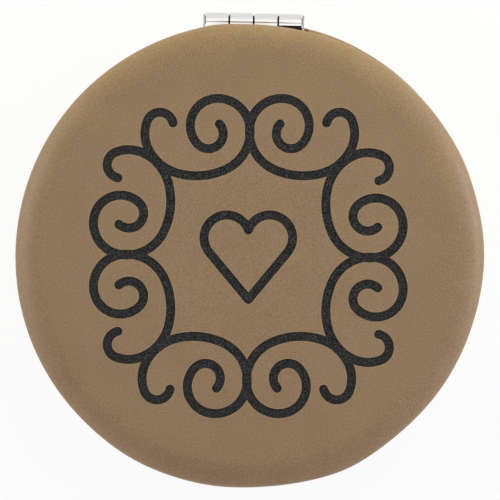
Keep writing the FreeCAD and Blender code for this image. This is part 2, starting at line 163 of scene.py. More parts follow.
def makeNickel(name, look):
    # Nickel-plated steel strip: near-white metal with faint lines along the strip where it is drawn
    # and polished, greyer and rougher where it is sheared; that greyer look is also laid along each leaf's
    # leg as a painted reflection line
    # The lines are really a few microns apart and are drawn coarser so that they show
    material, tree, shader, spot = newMaterial(name)
    along, across = perMetre(look["drawnLength"]), perMetre(look["drawnLine"])
    stretched = addNode(tree, "Mapping", {"Vector": spot, "Scale": (along, across, across)})
    lines = addNode(tree, "TexNoise", {"Vector": stretched.outputs[0], "Scale": 1.0, "Detail": 2.0})
    share = addNode(tree, "MapRange", {"Value": lines.outputs["Fac"], "From Min": noiseSpan[0],
                                       "From Max": noiseSpan[1]})
    metal = addNode(tree, "Mix", {0: share.outputs[0], 6: linear(look["dull"]), 7: linear(look["bright"])},
                    data_type="RGBA")
    low, high = look["roughness"]
    rough = addNode(tree, "MapRange", {"Value": lines.outputs["Fac"], "From Min": noiseSpan[0],
                                       "From Max": noiseSpan[1], "To Min": low, "To Max": high})
    shader.inputs["Metallic"].default_value = 1.0
    tree.links.new(metal.outputs[2], shader.inputs["Base Color"])
    tree.links.new(rough.outputs[0], shader.inputs["Roughness"])
    return material


darkSteelAndPaintedShade = dict(dark="#2b2927", light="#4a4744", drawnLine=0.09, drawnLength=3.0, roughness=(0.35, 0.5))


def makeDarkSteelAndPaintedShade():
    # Carbon steel wire, drawn and oiled: dark grey with long faint lines. It is the pin's finish, kept dark
    # as painted shade in the gaps between the knuckles, and it is laid inside the leaves' folds as painted
    # shade
    # The lines are really a few microns apart and are drawn coarser so that they show
    look = darkSteelAndPaintedShade
    material, tree, shader, spot = newMaterial("carbonSteelDrawnOiledAndPaintedShade")
    along, across = perMetre(look["drawnLength"]), perMetre(look["drawnLine"])
    stretched = addNode(tree, "Mapping", {"Vector": spot, "Scale": (along, across, across)})
    lines = addNode(tree, "TexNoise", {"Vector": stretched.outputs[0], "Scale": 1.0, "Detail": 2.0})
    metal = addNode(tree, "Mix", {0: lines.outputs["Fac"], 6: linear(look["dark"]),
                                  7: linear(look["light"])}, data_type="RGBA")
    low, high = look["roughness"]
    rough = addNode(tree, "MapRange", {"Value": lines.outputs["Fac"], "To Min": low, "To Max": high})
    shader.inputs["Metallic"].default_value = 1.0
    tree.links.new(metal.outputs[2], shader.inputs["Base Color"])
    tree.links.new(rough.outputs[0], shader.inputs["Roughness"])
    return material


silverRing = dict(
    bright="#d9dadc", dull="#c9cacd", flow=5.0, orangePeel=0.5, peelDepth=0.002, roughness=(0.16, 0.26))


def makeSilverRing():
    # Vacuum-metallised ABS: smooth silver film with a faint orange peel from the lacquer under it
    look = silverRing
    material, tree, shader, spot = newMaterial("absVacuumMetallised")
    flow = addNode(tree, "TexNoise", {"Vector": spot, "Scale": perMetre(look["flow"]), "Detail": 3.0})
    peel = addNode(tree, "TexNoise", {"Vector": spot, "Scale": perMetre(look["orangePeel"]), "Detail": 1.0})
    film = addNode(tree, "Mix", {0: flow.outputs["Fac"], 6: linear(look["dull"]),
                                 7: linear(look["bright"])}, data_type="RGBA")
    low, high = look["roughness"]
    rough = addNode(tree, "MapRange", {"Value": flow.outputs["Fac"], "To Min": low, "To Max": high})
    bump = addNode(tree, "Bump", {"Height": peel.outputs["Fac"], "Strength": 1.0,
                                  "Distance": look["peelDepth"] * mm})
    shader.inputs["Metallic"].default_value = 1.0
    tree.links.new(film.outputs[2], shader.inputs["Base Color"])
    tree.links.new(rough.outputs[0], shader.inputs["Roughness"])
    tree.links.new(bump.outputs[0], shader.inputs["Normal"])
    return material


mirrorGlass = dict(
    silver="#eef2f1", edge="#93a19d", edgeBand=0.5, haze=8.0, hazeSpan=(0.35, 0.7), roughness=(0.006, 0.03))


def makeMirrorGlass(radius):
    # Silvered float glass: a clear reflection, a breath of haze, and a greenish ground edge
    look = mirrorGlass
    material, tree, shader, spot = newMaterial("floatGlassSilvered")
    flat = addNode(tree, "VectorMath", {0: spot, 1: (1, 1, 0)}, operation="MULTIPLY")
    reach = addNode(tree, "VectorMath", {0: flat.outputs[0]}, operation="LENGTH")
    band = addNode(tree, "MapRange", {"Value": reach.outputs["Value"], "From Max": radius * mm,
                                      "From Min": (radius - look["edgeBand"]) * mm})
    silver = addNode(tree, "Mix", {0: band.outputs[0], 6: linear(look["silver"]), 7: linear(look["edge"])},
                     data_type="RGBA")
    haze = addNode(tree, "TexNoise", {"Vector": spot, "Scale": perMetre(look["haze"]), "Detail": 3.0})
    (clear, hazy), (low, high) = look["hazeSpan"], look["roughness"]
    rough = addNode(tree, "MapRange", {"Value": haze.outputs["Fac"], "From Min": clear, "From Max": hazy,
                                       "To Min": low, "To Max": high})
    shader.inputs["Metallic"].default_value = 1.0
    tree.links.new(silver.outputs[2], shader.inputs["Base Color"])
    tree.links.new(rough.outputs[0], shader.inputs["Roughness"])
    return material


mouldedAbs = dict(dark="#171616", light="#232120", spark=0.14, sparkDepth=0.008, roughness=(0.42, 0.56))


def makeMouldedAbs():
    # ABS, injection moulded in a spark-eroded tool: black with a fine even frosting
    look = mouldedAbs
    material, tree, shader, spot = newMaterial("absMouldedBlack")
    spark = addNode(tree, "TexNoise", {"Vector": spot, "Scale": perMetre(look["spark"]), "Detail": 2.0})
    black = addNode(tree, "Mix", {0: spark.outputs["Fac"], 6: linear(look["dark"]),
                                  7: linear(look["light"])}, data_type="RGBA")
    low, high = look["roughness"]
    rough = addNode(tree, "MapRange", {"Value": spark.outputs["Fac"], "To Min": low, "To Max": high})
    bump = addNode(tree, "Bump", {"Height": spark.outputs["Fac"], "Strength": 1.0,
                                  "Distance": look["sparkDepth"] * mm})
    tree.links.new(black.outputs[2], shader.inputs["Base Color"])
    tree.links.new(rough.outputs[0], shader.inputs["Roughness"])
    tree.links.new(bump.outputs[0], shader.inputs["Normal"])
    return material


slitFoam = dict(wall="#ece5d6", pore="#c9bfa9", cell=0.4, cellDepth=0.12, roughness=0.95)


def makeSlitFoam():
    # Polyurethane foam, slit from a block: cream, dull and full of small cells
    look = slitFoam
    material, tree, shader, spot = newMaterial("polyurethaneFoamSlit")
    cells = addNode(tree, "TexVoronoi", {"Vector": spot, "Scale": perMetre(look["cell"])})
    cream = addNode(tree, "Mix", {0: cells.outputs["Distance"], 6: linear(look["pore"]),
                                  7: linear(look["wall"])}, data_type="RGBA")
    bump = addNode(tree, "Bump", {"Height": cells.outputs["Distance"], "Strength": 1.0,
                                  "Distance": look["cellDepth"] * mm})
    shader.inputs["Roughness"].default_value = look["roughness"]
    tree.links.new(cream.outputs[2], shader.inputs["Base Color"])
    tree.links.new(bump.outputs[0], shader.inputs["Normal"])
    return material


foamTape = dict(light="#eceae3", dark="#dcd9cf", grain=0.6, roughness=0.7)


def makeFoamTape():
    # Acrylic foam tape, die-cut: off-white, slightly cloudy
    look = foamTape
    material, tree, shader, spot = newMaterial("acrylicFoamTapeDieCut")
    cloud = addNode(tree, "TexNoise", {"Vector": spot, "Scale": perMetre(look["grain"]), "Detail": 2.0})
    white = addNode(tree, "Mix", {0: cloud.outputs["Fac"], 6: linear(look["dark"]),
                                  7: linear(look["light"])}, data_type="RGBA")
    shader.inputs["Roughness"].default_value = look["roughness"]
    tree.links.new(white.outputs[2], shader.inputs["Base Color"])
    return material


# Engraving: the pen's centre line is arcs, straight lines and the points where a stroke ends or turns
engraving = dict(
    width=1.26, depth=0.15, wall=0.09,
    halo=0.12,                           # bleached edge beside a stroke
    step=0.18, leastSteps=2, capSteps=12,    # points along a stroke's outline, and round its end
    hidden=0.0001,                       # an outline this far inside another stroke is dropped
    gridGap=0.24,                        # between a stroke and the even grid of the face
    offset=(-0.13, -0.05), skew=1.05,    # it lies a little off the middle, and askew
    slide=0.2, sideInset=0.37,           # pairs of scrolls sit a little way round, side pairs further in
    reach=21.45,                         # ornament, from the middle to the end of its scrolls
    scrollStart=(-0.486, 0.843),         # shares of that reach
    scrollRadii=(0.085, 0.222, 0.294, 0.444, 0.26, 0.202, 0.171, 0.094),
    scrollSweeps=(146.5, 48, 48.5, 41, 72.5, 91, 123.5, 179),
    scrollHeading=102,
    heartReach=6.2, heartLobe=0.5, heartLobePlace=(0.47, 0.4), heartTip=-0.95)


def scrollStrokes():
    # one C-scroll: left-hand arcs that run smoothly into each other
    reach = engraving["reach"]
    point = np.array(engraving["scrollStart"]) * reach
    heading = math.radians(engraving["scrollHeading"])
    arcs, ends = [], [tuple(point)]
    for share, sweep in zip(engraving["scrollRadii"], engraving["scrollSweeps"]):
        radius = share * reach
        centre = point + radius * np.array((-math.sin(heading), math.cos(heading)))
        arcs.append((*centre, radius, heading - math.pi / 2, math.radians(sweep)))
        heading += math.radians(sweep)
        point = centre + radius * np.array((math.sin(heading), -math.cos(heading)))
    ends.append(tuple(point))
    return dict(arcs=arcs, lines=[], ends=ends)


def mirrored(strokes):
    return dict(
        arcs=[(-x, y, radius, math.pi - first - sweep, sweep)
              for x, y, radius, first, sweep in strokes["arcs"]],
        lines=[(-x0, y0, -x1, y1) for x0, y0, x1, y1 in strokes["lines"]],
        ends=[(-x, y) for x, y in strokes["ends"]])


def placed(strokes, angle, step):
    # strokes moved by a step, then turned about the middle
    c, s = math.cos(angle), math.sin(angle)

    def spot(x, y):
        x, y = x + step[0], y + step[1]
        return c * x - s * y, s * x + c * y

    return dict(
        arcs=[(*spot(x, y), radius, first + angle, sweep)
              for x, y, radius, first, sweep in strokes["arcs"]],
        lines=[(*spot(x0, y0), *spot(x1, y1)) for x0, y0, x1, y1 in strokes["lines"]],
        ends=[spot(x, y) for x, y in strokes["ends"]])


def heartStrokes():
    # half of a heart: a lobe, and a straight side that touches it and runs to the tip
    reach = engraving["heartReach"]
    lobe = engraving["heartLobe"] * reach
    centre = np.array(engraving["heartLobePlace"]) * reach
    tip = np.array((0, engraving["heartTip"] * reach))
    span = centre - tip
    side = math.atan2(span[1], span[0]) - math.asin(lobe / math.hypot(*span)) - math.pi / 2
    cleft = math.pi - math.acos(centre[0] / lobe)
    touch = centre + lobe * np.array((math.cos(side), math.sin(side)))
    return dict(
        arcs=[(*centre, lobe, side, cleft - side)],
        lines=[(*tip, *touch)],
        ends=[tuple(tip), (0.0, centre[1] + lobe * math.sin(cleft))])


def makePen():
    e = engraving
    scroll, heart = scrollStrokes(), heartStrokes()
    parts = [heart, mirrored(heart)]
    for quarter in range(4):
        step = (e["slide"], -e["sideInset"] * (quarter % 2))
        for twin in (scroll, mirrored(scroll)):
            parts.append(placed(twin, quarter * fullTurn / 4, step))
    whole = {kind: [stroke for part in parts for stroke in part[kind]]
             for kind in ("arcs", "lines", "ends")}
    return placed(placed(whole, math.radians(e["skew"]), (0, 0)), 0, e["offset"])


def penDistance(pen, spots):
    # how far each spot lies from the pen's centre line
    nearest = np.full(len(spots), np.inf)
    for x, y, radius, first, sweep in pen["arcs"]:
        across, up = spots[:, 0] - x, spots[:, 1] - y
        beside = (np.arctan2(up, across) - first) % fullTurn <= sweep
        gap = np.abs(np.hypot(across, up) - radius)
        nearest = np.where(beside, np.minimum(nearest, gap), nearest)
    for x0, y0, x1, y1 in pen["lines"]:
        run = np.array((x1 - x0, y1 - y0))
        along = np.clip(((spots - (x0, y0)) @ run) / (run @ run), 0, 1)
        gap = np.hypot(*(spots - (x0, y0) - along[:, None] * run).T)
        nearest = np.minimum(nearest, gap)
    for x, y in pen["ends"]:
        nearest = np.minimum(nearest, np.hypot(spots[:, 0] - x, spots[:, 1] - y))
    return nearest


def penOutline(pen, offset):
    # runs of points that keep this far from the centre line, before hidden stretches are dropped
    runs = []
    for x, y, radius, first, sweep in pen["arcs"]:
        for side in (radius + offset, radius - offset):
            count = max(engraving["leastSteps"], round(side * sweep / engraving["step"]))
            angles = first + np.linspace(0, sweep, count + 1)
            runs.append(np.stack((x + side * np.cos(angles), y + side * np.sin(angles)), 1))
    for x0, y0, x1, y1 in pen["lines"]:
        length = math.hypot(x1 - x0, y1 - y0)
        normal = np.array((y0 - y1, x1 - x0)) / length
        count = max(engraving["leastSteps"], round(length / engraving["step"]))
        along = np.linspace(0, 1, count + 1)[:, None]
        for side in (offset, -offset):
            runs.append(np.array((x0, y0)) + side * normal + along * np.array((x1 - x0, y1 - y0)))
    count = max(engraving["capSteps"], round(fullTurn * offset / engraving["step"]))
    angles = np.linspace(0, fullTurn, count + 1)
    for x, y in pen["ends"]:
        runs.append(np.stack((x + offset * np.cos(angles), y + offset * np.sin(angles)), 1))
    return runs


# Covers: leatherette over a thin foam, round the edge and turned in over the rim
coverShape = dict(
    skin=0.75,                       # leatherette with its fabric backing
    shoulderReach=4.0,               # padded edge, from the side inwards
    shoulderDrop=2.55,               # and from the face down
    rimRound=1.0, hemRound=0.2, hemGap=0.15,
    crown=0.1,                       # middle of the face over its edge
    columns=480, gridStep=0.9,
    gridMargin=0.54,                 # between the grid and the face's edge
    meshGap=1e-5, weld=0.0002,       # points closer than this are one, in the face and in the whole skin
    rings=dict(shoulder=18, side=5, rimRound=9, rim=5, hem=4,
               backRim=3, backRound=3, backSide=2, backShoulder=8),
    sharpAngle=32,
    notchMargin=0.6, notchLevel=1.2,  # room for the hinge
    notchOverrun=4.0,                # its cutter, past the skin
    pleats=47, pleatDepth=0.07, pleatPower=5,
    pleatDrift=((1.7, 3, 0.0), (1.1, 7, 0.8)),  # uneven spacing: how far, how often round, from where
    ripple=0.025, rippleLength=9.0,
    rippleWaves=((0.9, 0.3, 1.1), (-0.5, 0.6, 2.3), (0.35, 1.1, 0.4)))  # across, up, from where

halves = dict(                       # dents and swellings of the edge: where in degrees, how wide, how high
    lid=dict(up=1, crown=1,
             dents=[(84, 13, -0.34), (58, 9, -0.10), (100, 4, 0.15), (120, 14, -0.06), (2, 9, 0.19),
                    (25, 5, 0.10), (205, 22, 0.13), (241, 7, 0.13), (275, 8, -0.24), (296, 5, 0.17),
                    (313, 8, -0.12)]),
    base=dict(up=-1, crown=0,
              dents=[(90, 6, 0.28), (71, 6, 0.14), (56, 9, 0.1), (-140, 25, -0.06), (-80, 12, -0.12)]))

for halfName, half in halves.items():
    low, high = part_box(halfName + "_leatherette_cover")
    half["radius"] = (high.x - low.x) / 2 / mm
    half["height"] = (high.z - low.z) / mm
    half["rim"] = (low.z if half["up"] > 0 else high.z) / mm
    half["hemEdge"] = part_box(halfName + "_mirror_ring")[1].x / mm + coverShape["hemGap"]
    half["notchHalf"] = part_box("base_hinge_leaf")[1].x / mm + coverShape["notchMargin"]


def ellipseArc(centre, across, up, first, last, count):
    angles = np.radians(np.linspace(first, last, count + 1))
    return [(centre[0] + across * math.cos(a), centre[1] + up * math.sin(a)) for a in angles]


def straight(start, end, count):
    return [tuple(p) for p in np.linspace(start, end, count + 1)]


def coverProfile(half):
    # outside, turned-in rim and inside of the skin as (radius, level over the rim),
    # from the face's edge round to its back
    c, rings = coverShape, coverShape["rings"]
    radius, skin, rimRound = half["radius"], c["skin"], c["rimRound"]
    faceEdge = radius - c["shoulderReach"]
    foot = half["height"] - c["shoulderDrop"]
    fall = c["shoulderDrop"] - c["crown"] * half["crown"]
    hemEdge, hemRound = half["hemEdge"], c["hemRound"]
    rimCentre, hemCentre = (radius - rimRound, rimRound), (hemEdge + hemRound, hemRound)
    backRound = rimRound - skin
    outside = ellipseArc((faceEdge, foot), c["shoulderReach"], fall, 90, 0, rings["shoulder"])
    outside += straight((radius, foot), (radius, rimRound), rings["side"])[1:]
    outside += ellipseArc(rimCentre, rimRound, rimRound, 0, -90, rings["rimRound"])[1:]
    rim = straight((radius - rimRound, 0), (hemEdge + hemRound, 0), rings["rim"])[1:]
    rim += ellipseArc(hemCentre, hemRound, hemRound, -90, -180, rings["hem"])[1:]
    inside = straight((hemEdge, skin), (radius - rimRound, skin), rings["backRim"])
    inside += ellipseArc(rimCentre, backRound, backRound, -90, 0, rings["backRound"])[1:]
    inside += straight((radius - skin, rimRound), (radius - skin, foot), rings["backSide"])[1:]
    inside += ellipseArc((faceEdge, foot), c["shoulderReach"] - skin, fall - skin, 0, 90,
                         rings["backShoulder"])[1:]
    return outside, rim, inside


def outlineChange(half, angles):
    # how far the wrapped edge stands out from a true circle
    change = 0 * angles
    for place, spread, height in half["dents"]:
        away = (np.degrees(angles) - place + 180) % 360 - 180
        change = change + height * np.exp(-(away / spread) ** 2 / 2)
    return change


def faceRipple(x, y):
    # slow unevenness of skin over foam, none of it above the face
    wave, waves = fullTurn / coverShape["rippleLength"], coverShape["rippleWaves"]
    slow = sum(np.sin(wave * (across * x + up * y) + shift) for across, up, shift in waves)
    return coverShape["ripple"] * (slow / len(waves) - 1)


def pleatDepth(angles):
    # creases pressed into the hem where the round skin is gathered
    phase = coverShape["pleats"] * angles
    for drift, times, shift in coverShape["pleatDrift"]:
        phase = phase + drift * np.sin(times * angles + shift)
    return coverShape["pleatDepth"] * ((1 + np.sin(phase)) / 2) ** coverShape["pleatPower"]


def faceMesh(half, pen):
    # triangles of the face up to its shoulder, with the engraving's edges as lines of the mesh
    c = coverShape
    edge = half["radius"] - c["shoulderReach"]
    angles = np.arange(c["columns"]) * fullTurn / c["columns"]
    points = [np.stack((edge * np.cos(angles), edge * np.sin(angles)), 1)]
    lines = [(i, (i + 1) % c["columns"]) for i in range(c["columns"])]
    total = c["columns"]
    rows = np.arange(-edge, edge, c["gridStep"] * math.sqrt(3) / 2)
    grid = np.array([(x + (row % 2) * c["gridStep"] / 2, y) for row, y in enumerate(rows)
                     for x in np.arange(-edge, edge, c["gridStep"])])
    keep = np.hypot(grid[:, 0], grid[:, 1]) < edge - c["gridMargin"]
    strokeHalf = engraving["width"] / 2
    if pen:
        keep &= penDistance(pen, grid) > strokeHalf + engraving["gridGap"]
        for offset in (strokeHalf + engraving["halo"], strokeHalf, strokeHalf - engraving["wall"]):
            for run in penOutline(pen, offset):
                outer = penDistance(pen, run) > offset - engraving["hidden"]
                shown = outer[:-1] | outer[1:]
                lines += [(total + i, total + i + 1) for i in np.flatnonzero(shown)]
                points.append(run)
                total += len(run)
    points.append(grid[keep])
    flat = np.concatenate(points)
    used = np.zeros(len(flat), bool)
    used[:c["columns"]] = True
    used[total:] = True
    used[np.array(lines).ravel()] = True
    number = np.cumsum(used) - 1
    lines = [(int(number[a]), int(number[b])) for a, b in lines]
    corners, _, triangles, *_ = delaunay_2d_cdt([Vector(p) for p in flat[used]], lines, [], 0, c["meshGap"])
    return np.array([tuple(p) for p in corners]), [tuple(t) for t in triangles]


def grooveLevel(distance):
    down = np.clip((engraving["width"] / 2 - distance) / engraving["wall"], 0, 1)
    return -engraving["depth"] * down


def buildCover(halfName, pen, materials):
    c, half = coverShape, halves[halfName]
    edge = half["radius"] - c["shoulderReach"]
    flat, triangles = faceMesh(half, pen)
    reach = np.hypot(flat[:, 0], flat[:, 1])
    crown = c["crown"] * half["crown"]
    level = half["height"] - crown * (reach / edge) ** 2 + faceRipple(*flat.T)
    distance = penDistance(pen, flat) if pen else np.full(len(flat), np.inf)
    level = level + grooveLevel(distance)
    places = [np.column_stack((flat, level))]
    faces = list(triangles)
    inked = [False] * len(faces)
    if pen:
        middles = np.array([flat[list(t)].mean(0) for t in triangles])
        inked = list(penDistance(pen, middles) < engraving["width"] / 2)

    # rings that go on from the face, over the shoulder, down the side and back inside
    outside, rim, inside = coverProfile(half)
    angles = np.arange(c["columns"]) * fullTurn / c["columns"]
    change, pleat = outlineChange(half, angles), pleatDepth(angles)
    start = total = len(flat)
    for kind, ring in (("outside", outside), ("rim", rim), ("inside", inside)):
        for index, (radius, height) in enumerate(ring):
            lean = np.clip((radius - edge) / c["shoulderReach"], 0, 1)
            fade = 1 - index / len(rim) if kind == "rim" else float(kind == "outside")
            around = radius + change * lean * fade
            x, y = around * np.cos(angles), around * np.sin(angles)
            up = np.full(len(angles), float(height))
            if kind == "outside" and height > half["height"] - c["shoulderDrop"]:
                up = up + faceRipple(x, y) * (1 - lean)
            if kind == "rim" and height < c["skin"] / 2:
                up = up + pleat
            places.append(np.column_stack((x, y, up)))
            total += len(angles)
    count = c["columns"]
    for a in range(start, total - count, count):
        b = a + count
        faces += [(a + i, b + i, b + (i + 1) % count, a + (i + 1) % count) for i in range(count)]
    last = total - count
    places.append(np.array([[0, 0, inside[-1][1]]]))
    faces += [(last + i, total, last + (i + 1) % count) for i in range(count)]
    inked += [False] * (len(faces) - len(inked))

    spots = np.concatenate(places)
    spots[:, 2] = half["rim"] + half["up"] * spots[:, 2]
    mesh = bpy.data.meshes.new(halfName + "Leatherette")
    mesh.from_pydata((spots * mm).tolist(), [], faces)
    for material in materials:
        mesh.materials.append(material)
    mesh.polygons.foreach_set("material_index", np.array(inked, np.int32))
    build = bmesh.new()
    build.from_mesh(mesh)
    bmesh.ops.remove_doubles(build, verts=build.verts, dist=c["weld"] * mm)
    bmesh.ops.recalc_face_normals(build, faces=build.faces)
    build.to_mesh(mesh)
    build.free()
    piece = addObject(halfName + "Leatherette", mesh)
    cutHingeNotch(piece, half)
    finishCover(piece, pen)
    wrapped = np.array(outside + rim)
    cut = edge + np.hypot(*np.diff(wrapped, axis=0).T).sum()   # radius of the disc before it was wrapped
    return piece, cut


def cutHingeNotch(piece, half):
    c = coverShape
    low, high = half["rim"] - c["notchLevel"], half["rim"] + c["notchLevel"]
    front, back = half["hemEdge"] - c["notchOverrun"], half["radius"] + c["notchOverrun"]
    box = bpy.data.meshes.new("hingeNotch")
    corners = [(x * mm, y * mm, z * mm) for x in (-half["notchHalf"], half["notchHalf"])
               for y in (front, back) for z in (low, high)]
    sides = [(0, 1, 3, 2), (4, 6, 7, 5), (0, 4, 5, 1), (2, 3, 7, 6), (0, 2, 6, 4), (1, 5, 7, 3)]
    box.from_pydata(corners, [], sides)
    cutter = addObject("hingeNotch", box)
    notch = piece.modifiers.new("hingeNotch", "BOOLEAN")
    notch.operation = "DIFFERENCE"
    notch.solver = "EXACT"
    notch.object = cutter
    bpy.context.view_layer.update()
    done = bpy.data.meshes.new_from_object(piece.evaluated_get(bpy.context.evaluated_depsgraph_get()))
    piece.modifiers.clear()
    rough, piece.data = piece.data, done
    done.name = piece.name
    bpy.data.objects.remove(cutter)
    bpy.data.meshes.remove(rough)
    bpy.data.meshes.remove(box)


def finishCover(piece, pen):
    mesh = piece.data
    spots = np.empty(len(mesh.vertices) * 3)
    mesh.vertices.foreach_get("co", spots)
    spots = spots.reshape(-1, 3) / mm
    scorch = np.zeros(len(spots))
    if pen:
        onFace = spots[:, 2] > halves["lid"]["rim"] + halves["lid"]["height"] - coverShape["skin"] / 2
        away = penDistance(pen, spots[:, :2]) - engraving["width"] / 2
        scorch = onFace * np.clip(1 - away / engraving["halo"], 0, 1)
    mesh.attributes.new("scorch", "FLOAT", "POINT").data.foreach_set("value", scorch.astype(np.float32))
    mesh.polygons.foreach_set("use_smooth", np.ones(len(mesh.polygons), bool))
    mesh.set_sharp_from_angle(angle=math.radians(coverShape["sharpAngle"]))


pen = makePen()
tanCoat, blackCore = makeLeatherette(), makeEngravedCore()
for halfName in halves:
    piece, cut = buildCover(halfName, pen if halfName == "lid" else None, (tanCoat, blackCore))
    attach(piece, halfName)
    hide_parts(halfName + "_leatherette_cover")
    print(piece.name, "cut from a disc", round(2 * cut, 1), "mm across,", len(piece.data.polygons), "faces")


# Foam under the leatherette
foamShape = dict(
    columns=160, clearance=0.03, skinFit=0.05,
    sag=0.04, sagWaves=3,
    seatShare=0.3, topShares=(0.9, 0.1),     # first ring of the seat, outer and inner ring of the top
    edgeStart=2,                             # degrees up the rounded edge, clear of the seat
    seatRings=6, edgeRings=10, topRings=8)


def buildFoam(halfName, material):
    c, f, half = coverShape, foamShape, halves[halfName]
    gap = f["clearance"]
    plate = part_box(halfName + "_shell")
    seat = ((plate[1].z if half["up"] > 0 else plate[0].z) / mm - half["rim"]) * half["up"] + gap
    inside = c["skin"] + gap + f["skinFit"]
    edge = half["radius"] - c["shoulderReach"]
    fall = c["shoulderDrop"] - c["crown"] * half["crown"] - inside
    foot = half["height"] - c["shoulderDrop"]
    reach, top = c["shoulderReach"] - inside, foot + fall
    outer, inner = (edge * share for share in f["topShares"])
    ring = [(0, seat)] + straight((edge * f["seatShare"], seat), (edge + reach, seat), f["seatRings"])
    ring += ellipseArc((edge, foot), reach, fall, f["edgeStart"], 90, f["edgeRings"])
    ring += straight((outer, top), (inner, top), f["topRings"]) + [(0, top)]
    build = bmesh.new()
    angles = np.arange(f["columns"]) * fullTurn / f["columns"]
    rows = []
    for radius, level in ring:
        sag = f["sag"] * np.sin(f["sagWaves"] * angles + radius) if level > seat + gap else 0 * angles
        heights = half["rim"] + half["up"] * (level - np.abs(sag))
        spots = [(radius * math.cos(a), radius * math.sin(a), z) for a, z in zip(angles, heights)]
        rows.append([build.verts.new(Vector(s) * mm) for s in (spots if radius else spots[:1])])
    for first, second in zip(rows, rows[1:]):
        for i in range(len(angles)):
            j = (i + 1) % len(angles)
            corners = [row[k % len(row)] for row, k in ((first, i), (first, j), (second, j), (second, i))]
            build.faces.new(list(dict.fromkeys(corners))).smooth = True     # the middle gives triangles
    bmesh.ops.recalc_face_normals(build, faces=build.faces)
    mesh = bpy.data.meshes.new(halfName + "Foam")
    build.to_mesh(mesh)
    build.free()
    mesh.materials.append(material)
    return addObject(halfName + "Foam", mesh)


cream = makeSlitFoam()
for halfName in halves:
    piece = buildFoam(halfName, cream)
    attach(piece, halfName)
    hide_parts(halfName + "_foam_pad")
print("foam pads built")

# Hinge leaves: folded strip whose sheared edges are rounded over
hingeShape = dict(
    weld=0.001, flatAngle=1,         # what is one point, and one face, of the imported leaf
    edgeRound=0.07, edgeAngle=20, segments=3,
    foldInside=0.6, foldReach=1.25,  # painted shade inside a fold, up and down and to the front
    creaseSlope=0.93, level=0.9999,  # slope of a face as the upright part of its normal
    sideways=0.5,                    # and of one that looks along the hinge, as the part along it
    creaseBehind=0.24,               # legs stay level this far past the axis
    turnStart=0.16,                  # and go on as an ellipse that starts here
    outerShare=0.9,                  # outside of a fold, from this share of its radius
    paintedReflectionLine=(0.175, 0.285),         # painted reflection line, in front of the axis
    earEdge=0.27,                    # ears, in from the ends of the hinge
    backReach=(0.42, 0.72),          # backs of the base's folds, below the pin and above it,
    backGrowth=0.22)                 # grow so far that they nearly close the gaps beside them

platedSlot, paintedShadeSlot, shearedAndPaintedLineSlot = range(3)      # places of a leaf's materials: plated nickel, dark steel as painted shade, and sheared nickel that also draws the painted reflection line


def slicePlane(build, spot, normal):
    bmesh.ops.bisect_plane(build, geom=build.verts[:] + build.edges[:] + build.faces[:], dist=onPlane,
                           plane_co=spot, plane_no=normal)


def levelLegs(build, axis):
    # each leg stays level a little way past the axis before the fold turns down
    c = hingeShape
    behind = [vert for vert in build.verts if vert.co.y > axis.y + c["weld"] * mm]
    top = max(abs(vert.co.z - axis.z) for vert in behind)
    back = max(vert.co.y - axis.y for vert in behind)
    start = c["turnStart"] * mm
    for vert in behind:
        reach, rise = vert.co.y - axis.y, vert.co.z - axis.z
        if math.hypot(reach, rise) > c["outerShare"] * top:
            turn = (reach - start) / (back - start) if reach > c["creaseBehind"] * mm else 0
            vert.co.z = axis.z + math.copysign(top * math.sqrt(max(0, 1 - turn ** 2)), rise)


def widenBacks(build, axis):
    # the left side of each fold of the base grows at the back, and the right side only below the pin
    c = hingeShape
    below, above = (axis + Vector((0, reach * mm, 0)) for reach in c["backReach"])
    for spot, normal in ((below, (0, 1, 0)), (above, (0, 1, 0)), (axis, (0, 0, 1))):
        slicePlane(build, spot, normal)
    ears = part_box("lid_hinge_leaf")[1].x - c["backGrowth"] * mm
    for side in (-1, 1):
        ends = []
        for face in build.faces:
            middle = face.calc_center_median()
            grows = middle.y > below.y if middle.z < axis.z else side < 0 and middle.y > above.y
            if face.normal.x * side > c["sideways"] and abs(middle.x) < ears and grows:
                ends.append(face)
        grown = bmesh.ops.extrude_face_region(build, geom=ends)
        tips = [item for item in grown["geom"] if isinstance(item, bmesh.types.BMVert)]
        bmesh.ops.translate(build, verts=tips, vec=(side * c["backGrowth"] * mm, 0, 0))
        bmesh.ops.delete(build, geom=ends, context="FACES")


